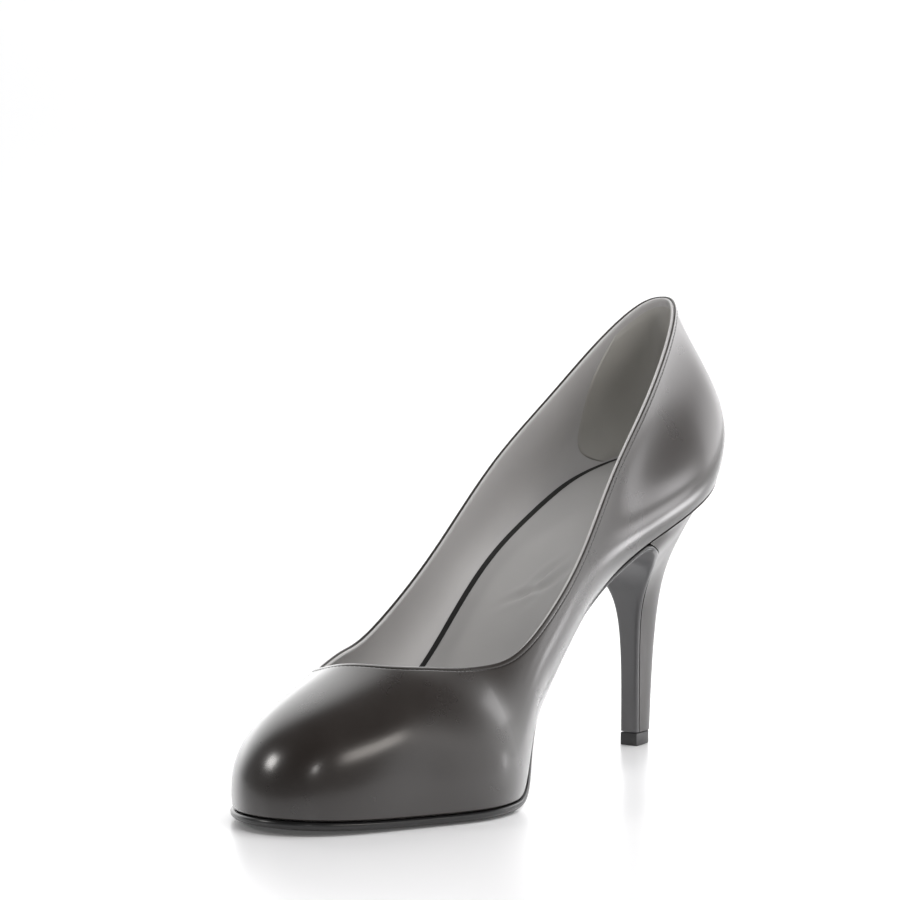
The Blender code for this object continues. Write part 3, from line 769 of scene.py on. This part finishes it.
HEEL_SECTIONS = (
    HeelSection(208.4, 4.8, 217.8, 4.8, 3.5, 0.0),
    HeelSection(208.4, 20.0, 219.0, 20.0, 3.5, 0.0),
    HeelSection(208.0, 38.0, 221.0, 39.0, 4.0, 0.0),
    HeelSection(207.2, 48.0, 222.8, 51.0, 5.3, 0.0),
    HeelSection(205.2, 56.5, 224.8, 62.5, 8.6, 0.1),
    HeelSection(199.5, 63.8, 227.8, 75.0, 14.8, 0.3),
    HeelSection(192.3, 68.8, 231.4, 86.0, 21.0, 0.5),
    HeelSection(184.5, 72.4, 234.4, 93.6, 26.2, 0.7),
)

# The sole's edge in section, from its underside to its upper rim: out is towards the outside of the rim,
# both as shares of the edge's thickness.
EdgePoint = namedtuple("EdgePoint", "out down")

EDGE_PROFILE = (
    EdgePoint(-3.2, 1.0), EdgePoint(-1.6, 1.0), EdgePoint(-0.95, 0.94), EdgePoint(-0.45, 0.84),
    EdgePoint(-0.13, 0.66), EdgePoint(0.0, 0.5), EdgePoint(0.03, 0.3), EdgePoint(0.0, 0.15),
    EdgePoint(-0.07, 0.05), EdgePoint(-0.2, 0.0),
)


def sole_tuck(along):
    """How far the sole's edge lies inside the upper's: a squared sine, nothing at ball and breast."""
    share = np.clip((along - TUCK_FRONT) / (TUCK_BACK - TUCK_FRONT), 0.0, 1.0)
    return SOLE_TUCK * np.sin(np.pi * share) ** 2


def sole_edge(t):
    """One side of the sole from toe to breast.

    The edge profile is carried along the feather edge; ledge and platform follow inside it.
    """
    feather_edge = feather(t)
    along = feather_edge[:, 1]
    out = edge_frame(feather, t)[0]
    share = platform_share(along)[:, None]
    tuck = sole_tuck(along)[:, None] * out
    rise = (feather_height(along + TINY) - feather_height(along - TINY)) / (2.0 * TINY)
    up = np.stack([np.zeros(len(t)), -rise, np.ones(len(t))], axis=1)
    up /= np.linalg.norm(up, axis=1, keepdims=True)
    thick = SOLE_WAIST + (SOLE_EDGE - SOLE_WAIST) * share
    rim = feather_edge + SOLE_MARGIN * share * out - tuck - GAP * up
    profile = EdgePoint(*np.array(EDGE_PROFILE).T)
    edge = rim[:, None] + thick[:, None] * (profile.out[None, :, None] * out[:, None]
                                            - profile.down[None, :, None] * up[:, None])
    ledge = feather_edge - (WALL + GAP) * out - tuck - GAP * up
    platform = inside_ring(t, platform_height) - tuck
    platform[:, 2] = platform_height(platform[:, 1])
    return np.concatenate([edge, ledge[:, None], platform[:, None]], axis=1)


def heel_arc(section):
    """Superellipse from the outer breast corner round the back to the inner one, in the section's slope."""
    angle = np.linspace(0.0, np.pi, HEEL_ARC + 1)
    power = 2.0 / HEEL_ROUNDNESS
    side = np.sign(np.cos(angle)) * np.abs(np.cos(angle)) ** power
    deep = np.sin(angle).clip(0.0) ** power
    along = section.front_along + (section.back_along - section.front_along) * deep
    height = section.front_height + (section.back_height - section.front_height) * deep
    return np.stack([section.centre + section.half_width * side, along, height], axis=1)


def heel_skin():
    """Rows of the heel from tip to seat, the seat's edge and the outward directions there.

    The rows lie on a spline through the section curves and the upper's edge.
    """
    outer_seat = np.linspace(ring_place(SEAT_FRONT, 0.0), AT_HEEL, HEEL_ARC // 2 + 1)
    inner_seat = np.linspace(AT_HEEL, ring_place(SEAT_FRONT, AT_END), HEEL_ARC // 2 + 1)
    t = np.concatenate([outer_seat, inner_seat[1:]])
    seat = feather(t) - [0.0, 0.0, GAP]
    arcs = np.array([heel_arc(section) for section in HEEL_SECTIONS])
    rows = np.concatenate([arcs, (seat - [0.0, 0.0, SEAT_ROUND])[None]])
    steps = np.linalg.norm(np.diff(rows, axis=0), axis=2).mean(axis=1)
    levels = np.concatenate([[0.0], np.cumsum(steps)])
    curve = natural_spline(levels, rows.reshape(len(rows), -1))
    heel_rows = curve(np.linspace(0.0, levels[-1], HEEL_RINGS)).reshape(HEEL_RINGS, -1, 3)
    return heel_rows, seat, edge_frame(feather, t)[0]


def breast_tongue(corner, sign):
    """One side of the tongue, +1 outer or -1 inner: a thinner edge profile down the heel's front corner."""
    run = np.gradient(corner[:, 1:], axis=0)
    run /= np.linalg.norm(run, axis=1, keepdims=True)
    ahead = np.stack([np.zeros(len(run)), run[:, 1], -run[:, 0]], axis=1)
    outward = np.array([sign, 0.0, 0.0])
    back = corner + GAP * ahead
    profile = EdgePoint(*np.array(EDGE_PROFILE).T)
    narrow = np.minimum(1.0, np.abs(corner[:, 0]) / (TONGUE_NARROW * FLAP))[:, None, None]
    edge = back[:, None] + FLAP * (narrow * profile.out[None, :, None] * outward
                                   + profile.down[None, :, None] * ahead[:, None])
    inner = [back - depth * FLAP * outward for depth in TONGUE_BACK]
    return np.concatenate([edge, np.stack(inner, axis=1)], axis=1)


def rounded_turn(before, corner, after):
    """Profiles round the turn from arch to breast.

    Edge and outer face follow a quadratic Bezier; the hidden face goes through the sharp corner.
    """
    s = np.linspace(0.0, 1.0, TURN_PROFILES + 2)[1:-1][:, None, None]
    soft = before * (1.0 - s) ** 2 + corner * 2.0 * s * (1.0 - s) + after * s ** 2
    near = np.where(s < 0.5, before, after)
    sharp = corner + (near - corner) * np.abs(1.0 - 2.0 * s)
    shown = np.concatenate([np.ones(len(EDGE_PROFILE)), [0.0, 0.0]])[None, :, None]
    return sharp + (soft - sharp) * shown


heel_rows, seat, seat_out = heel_skin()
sole_sides = []
arch_sides = side_parameters(SEAT_FRONT - TURN_REACH, SOLE_STATIONS)
for sign, toe, t in zip((1.0, -1.0), (0.0, AT_END), arch_sides):
    arch = sole_edge(t)
    corner = sole_edge(np.array([ring_place(SEAT_FRONT, toe)]))[0]
    breast = heel_rows[::-1, 0 if sign > 0.0 else -1]
    tongue = breast_tongue(breast, sign)[np.linalg.norm(breast - breast[0], axis=1) > TURN_REACH]
    sole_sides.append(np.concatenate([arch, rounded_turn(arch[-1], corner, tongue[0]), tongue]))
sole_loops = np.concatenate([sole_sides[0], sole_sides[1][:, ::-1]], axis=1)
stations, width = sole_loops.shape[:2]
sole_faces = grid_faces(stations, width, False, True)
sole_faces.append(tuple(range((stations - 1) * width, stations * width)))
sole_leather, sole_shader = leather("black_sole_leather", SOLE_DARK, SOLE_LIGHT, SOLE_ROUGHNESS, cloud=60.0,
                                    grain=1100.0)
sole_shader.inputs["Coat Weight"].default_value = SOLE_COAT
sole_shader.inputs["Coat Roughness"].default_value = SOLE_COAT_ROUGHNESS

# Painted reflection: the tongue gets a clouded grey colour in place of the bright surround mirrored in its
# black leather; it is mixed in by the place along the shoe.
nodes = sole_leather.node_tree.nodes
links = sole_leather.node_tree.links
split = nodes.new("ShaderNodeSeparateXYZ")
links.new(nodes["Texture Coordinate"].outputs["Object"], split.inputs[0])
painted_reflection_share = nodes.new("ShaderNodeMapRange")
painted_reflection_share.inputs["From Min"].default_value = (SEAT_FRONT - REFLECTION_BEFORE - MIDDLE_ALONG) * MM
painted_reflection_share.inputs["From Max"].default_value = (SEAT_FRONT + REFLECTION_AFTER - MIDDLE_ALONG) * MM
links.new(split.outputs["Y"], painted_reflection_share.inputs["Value"])
tongue_painted_reflection = nodes.new("ShaderNodeMix")
tongue_painted_reflection.data_type = "RGBA"
tongue_painted_reflection.inputs[6].default_value = (*TONGUE_REFLECTION_DARK, 1.0)
tongue_painted_reflection.inputs[7].default_value = (*TONGUE_REFLECTION_LIGHT, 1.0)
links.new(nodes["Noise Texture"].outputs["Fac"], tongue_painted_reflection.inputs[0])
sole_and_painted_reflection = nodes.new("ShaderNodeMix")
sole_and_painted_reflection.data_type = "RGBA"
links.new(painted_reflection_share.outputs["Result"], sole_and_painted_reflection.inputs[0])
links.new(nodes["Mix"].outputs[2], sole_and_painted_reflection.inputs[6])
links.new(tongue_painted_reflection.outputs[2], sole_and_painted_reflection.inputs[7])
links.new(sole_and_painted_reflection.outputs[2], sole_shader.inputs["Base Color"])
sole = shoe_piece("sole_leather", sole_loops, sole_faces, sole_leather, sharp_degrees=50.0)
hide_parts("sole")

# Heel
# A slim moulded heel wrapped in the upper's calf, which is a little duller here where it is stretched.
# Its seat is glued and nailed under the heel of the foot; the sole's tongue closes its front.

LIP_STEPS = 5  # points round the seat's broken edge
HEEL_ROUGHNESS = (0.3, 0.38)
HEEL_COAT = 0.4
HEEL_COAT_ROUGHNESS = 0.25

rounding = np.linspace(0.0, 0.5 * np.pi, LIP_STEPS)[1:, None, None]
draw_in = (np.cos(rounding) - 1.0) * seat_out[None]
draw_down = (np.sin(rounding) - 1.0) * [0.0, 0.0, 1.0]
lip = seat[None] + SEAT_ROUND * (draw_in + draw_down)
heel_points = np.concatenate([heel_rows, lip])
count, width = heel_points.shape[:2]
heel_faces = grid_faces(count, width, False, True)
heel_faces.append(tuple(range(width)))
heel_faces += cap_faces((count - 1) * width, width, HEEL_ARC // 2)
heel_calf, heel_shader = leather("heel_calf", CALF_DARK, CALF_LIGHT, HEEL_ROUGHNESS, grain=CALF_GRAIN,
                                 grain_depth=CALF_GRAIN_DEPTH)
heel_shader.inputs["Coat Weight"].default_value = HEEL_COAT
heel_shader.inputs["Coat Roughness"].default_value = HEEL_COAT_ROUGHNESS
heel = shoe_piece("heel_cover", heel_points, heel_faces, heel_calf, sharp_degrees=50.0)
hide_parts("heel")

# Heel tip
# Hard dark plastic top piece, moulded round a pin that is driven into the heel.
# It has a flat front, about level with the tongue, and softly broken edges.

TIP_HEIGHT = 4.5
TIP_INSET = 0.2  # it stands back from the heel's outline
TIP_BREAK = 0.35  # broken edge
TIP_BEND = 0.3 * TIP_BREAK  # middle of the broken edge

TIP_DARK = (0.03, 0.03, 0.031)
TIP_LIGHT = (0.045, 0.045, 0.046)
TIP_ROUGHNESS = (0.35, 0.5)

low = HEEL_SECTIONS[0]
tip_front = low.front_along + TIP_INSET - FLAP - GAP
tip_back = low.back_along - TIP_INSET
tip_middle = 0.5 * (tip_front + tip_back)
outline = heel_arc(HeelSection(tip_front, 0.0, tip_back, 0.0, low.half_width - TIP_INSET, low.centre))
centre = np.array([low.centre, tip_middle, 0.0])
inward = centre - outline
inward /= np.linalg.norm(inward, axis=1, keepdims=True)
# Rings from the floor up: distance in from the outline, and height.
tip_rings = [(TIP_BREAK, 0.0), (TIP_BEND, TIP_BEND), (0.0, TIP_BREAK), (0.0, TIP_HEIGHT - TIP_BREAK),
             (TIP_BEND, TIP_HEIGHT - TIP_BEND), (TIP_BREAK, TIP_HEIGHT)]
tip_points = np.array([outline + inset * inward + [0.0, 0.0, height] for inset, height in tip_rings])
count, width = tip_points.shape[:2]
tip_faces = grid_faces(count, width, False, True)
tip_faces += [tuple(range(width)), tuple(range((count - 1) * width, count * width))]
tip_plastic, _ = leather("tip_plastic", TIP_DARK, TIP_LIGHT, TIP_ROUGHNESS, cloud=300.0, grain=2500.0,
                         grain_depth=0.00001)
heel_tip = shoe_piece("heel_tip_piece", tip_points, tip_faces, tip_plastic, sharp_degrees=50.0)
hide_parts("heel_tip")

# Studio
# Plain white floor with a soft gloss, in a pale surround: a bright wall behind on the left, a glow on the
# right and a dark ceiling. Soft lamps stand on both sides.

AZIMUTH = 35.7  # degrees, of the camera round the shoe
ELEVATION = 6.85
DISTANCE = 2.0  # metres, from the target
LENS = 242.5
CLIP = (0.05, 100.0)
TARGET = np.array([-0.0089, -0.0096, 0.1115])

WHITE = (1.0, 1.0, 1.0, 1.0)
FLOOR_HALF = 8.0
FLOOR_COLOUR = (0.82, 0.82, 0.83, 1.0)
FLOOR_ROUGHNESS = 0.3
FLOOR_SPECULAR = 0.6
FLOOR_GLOW = 0.07

# The surround's light: everywhere, low all round, on the wall behind and on the right.
# A way is in degrees, see studio_way; a fade is the start and end of a smooth step, see fade.
ROOM = 0.03
HORIZON = 0.14
HORIZON_FADE = (-0.75, 0.0)
BACK_WALL = 1.75
BACK_WALL_WAY = (-168.0, 22.0)
BACK_WALL_FADE = (0.64, 0.93)
RIGHT_SIDE = 0.95
RIGHT_SIDE_WAY = (115.0, 0.0)
RIGHT_SIDE_FADE = (0.34, 0.64)
RIGHT_SIDE_TOP_FADE = (-0.78, -0.3)

floor_mesh = bpy.data.meshes.new("floor")
floor_corners = [(FLOOR_HALF * x, FLOOR_HALF * y, 0.0) for x, y in ((-1, -1), (1, -1), (1, 1), (-1, 1))]
floor_mesh.from_pydata(floor_corners, [], [(0, 1, 2, 3)])
floor = bpy.data.objects.new("floor", floor_mesh)
bpy.context.scene.collection.objects.link(floor)
floor_finish = bpy.data.materials.new("pale_floor")
floor_finish.use_nodes = True
floor_shader = floor_finish.node_tree.nodes["Principled BSDF"]
floor_shader.inputs["Base Color"].default_value = FLOOR_COLOUR
floor_shader.inputs["Roughness"].default_value = FLOOR_ROUGHNESS
floor_shader.inputs["Specular IOR Level"].default_value = FLOOR_SPECULAR
floor_shader.inputs["Emission Color"].default_value = WHITE
floor_shader.inputs["Emission Strength"].default_value = FLOOR_GLOW
floor_mesh.materials.append(floor_finish)

azimuth = np.radians(AZIMUTH)
elevation = np.radians(ELEVATION)
to_right = np.array([np.cos(azimuth), np.sin(azimuth), 0.0])
to_front = np.array([np.sin(azimuth), -np.cos(azimuth), 0.0])
to_top = np.array([0.0, 0.0, 1.0])
to_camera = np.cos(elevation) * to_front + np.sin(elevation) * to_top


def studio_way(azimuth_degrees, elevation_degrees):
    """Unit vector by degrees to the right of the viewer's side and degrees above the floor."""
    turn = np.radians(azimuth_degrees)
    rise = np.radians(elevation_degrees)
    return np.cos(rise) * (np.cos(turn) * to_front + np.sin(turn) * to_right) + np.sin(rise) * to_top


world = bpy.data.worlds.new("pale_surround")
bpy.context.scene.world = world
world.use_nodes = True
nodes = world.node_tree.nodes
links = world.node_tree.links
direction = nodes.new("ShaderNodeTexCoord").outputs["Generated"]


def fade(axis, start, end):
    """Smooth step from 0 to 1 of the looking direction's share along an axis."""
    share = nodes.new("ShaderNodeVectorMath")
    share.operation = "DOT_PRODUCT"
    share.inputs[1].default_value = tuple(axis)
    links.new(direction, share.inputs[0])
    step = nodes.new("ShaderNodeMapRange")
    step.interpolation_type = "SMOOTHSTEP"
    step.inputs["From Min"].default_value = start
    step.inputs["From Max"].default_value = end
    links.new(share.outputs["Value"], step.inputs["Value"])
    return step.outputs["Result"]


def combine(operation, first, second, third=None):
    """Math node on two or three sockets or numbers."""
    node = nodes.new("ShaderNodeMath")
    node.operation = operation
    for socket, value in zip(node.inputs, (first, second, third)):
        if isinstance(value, float):
            socket.default_value = value
        elif value is not None:
            links.new(value, socket)
    return node.outputs[0]


light = combine("MULTIPLY_ADD", fade(-to_top, *HORIZON_FADE), HORIZON, ROOM)
light = combine("MULTIPLY_ADD", fade(studio_way(*BACK_WALL_WAY), *BACK_WALL_FADE), BACK_WALL, light)
side = combine("MULTIPLY", fade(-to_top, *RIGHT_SIDE_TOP_FADE),
               fade(studio_way(*RIGHT_SIDE_WAY), *RIGHT_SIDE_FADE))
light = combine("MULTIPLY_ADD", side, RIGHT_SIDE, light)
links.new(light, nodes["Background"].inputs["Strength"])
nodes["Background"].inputs["Color"].default_value = WHITE

# Soft lamps by their direction from the shoe's middle, in degrees from the viewer's side; sizes in metres.
# turned, tipped: degrees the lamp looks aside and down from the middle. spread: its grid's angle in degrees.
# lights: all surfaces, only the gloss of surfaces, or only their matt colour.
Lamp = namedtuple("Lamp", "name azimuth elevation distance turned tipped width height "
                          "radiance spread colour lights")

LAMPS = (
    Lamp("left_lamp", -76.0, 28.0, 1.6, 0.0, 0.0, 0.36, 0.36, 12.0, 180.0, (1.0, 0.98, 0.96), "all"),
    Lamp("front_lamp", 0.0, 23.0, 1.6, 0.0, 0.0, 0.17, 0.17, 12.0, 180.0, (1.0, 0.98, 0.96), "all"),
    Lamp("front_strip", 44.0, 27.0, 1.6, 0.0, 0.0, 0.74, 0.32, 4.8, 180.0, (1.0, 0.95, 0.9), "all"),
    Lamp("right_strip", 114.6, -12.5, 0.404, -33.0, 0.0, 0.2, 0.045, 2.4, 82.0, (1.0, 0.98, 1.0), "gloss"),
    Lamp("right_box", 103.9, 12.1, 0.361, -24.0, 0.0, 0.15, 0.06, 0.42, 44.0, (1.0, 0.98, 1.0), "gloss"),
    Lamp("waist_box", 98.6, -3.7, 0.335, -32.6, -6.3, 0.1, 0.05, 1.8, 90.0, (1.0, 0.98, 1.0), "gloss"),
    Lamp("rear_card", 132.3, 11.8, 0.456, -42.3, -11.8, 0.3, 0.15, 1.35, 180.0, (1.0, 0.98, 1.0), "gloss"),
    Lamp("floor_spot", 108.0, 57.0, 0.58, 0.0, 33.0, 0.3, 0.3, 1.2, 66.0, (1.0, 1.0, 1.0), "matt"),
    Lamp("overhead_fill", 75.0, 68.0, 1.6, 0.0, 0.0, 1.6, 1.6, 3.1, 180.0, (1.0, 1.0, 1.0), "matt"),
)

for lamp in LAMPS:
    source = bpy.data.lights.new(lamp.name, "AREA")
    source.shape = "RECTANGLE"
    source.size = lamp.width
    source.size_y = lamp.height
    source.energy = lamp.radiance * np.pi * lamp.width * lamp.height
    source.spread = np.radians(lamp.spread)
    source.color = lamp.colour
    holder = bpy.data.objects.new(lamp.name, source)
    holder.location = TARGET + lamp.distance * studio_way(lamp.azimuth, lamp.elevation)
    facing = studio_way(lamp.azimuth + lamp.turned, lamp.elevation + lamp.tipped)
    holder.rotation_euler = Vector(facing).to_track_quat("Z", "Y").to_euler()
    holder.visible_glossy = lamp.lights != "matt"
    holder.visible_diffuse = lamp.lights != "gloss"
    holder.visible_camera = False
    bpy.context.scene.collection.objects.link(holder)

camera = bpy.data.objects.new("camera", bpy.data.cameras.new("camera"))
bpy.context.scene.collection.objects.link(camera)
camera.data.lens = LENS
camera.data.clip_start, camera.data.clip_end = CLIP
camera.location = TARGET + DISTANCE * to_camera
camera.rotation_euler = (np.pi / 2.0 - elevation, 0.0, azimuth)
bpy.context.scene.camera = camera
bpy.context.scene.view_settings.view_transform = "Standard"
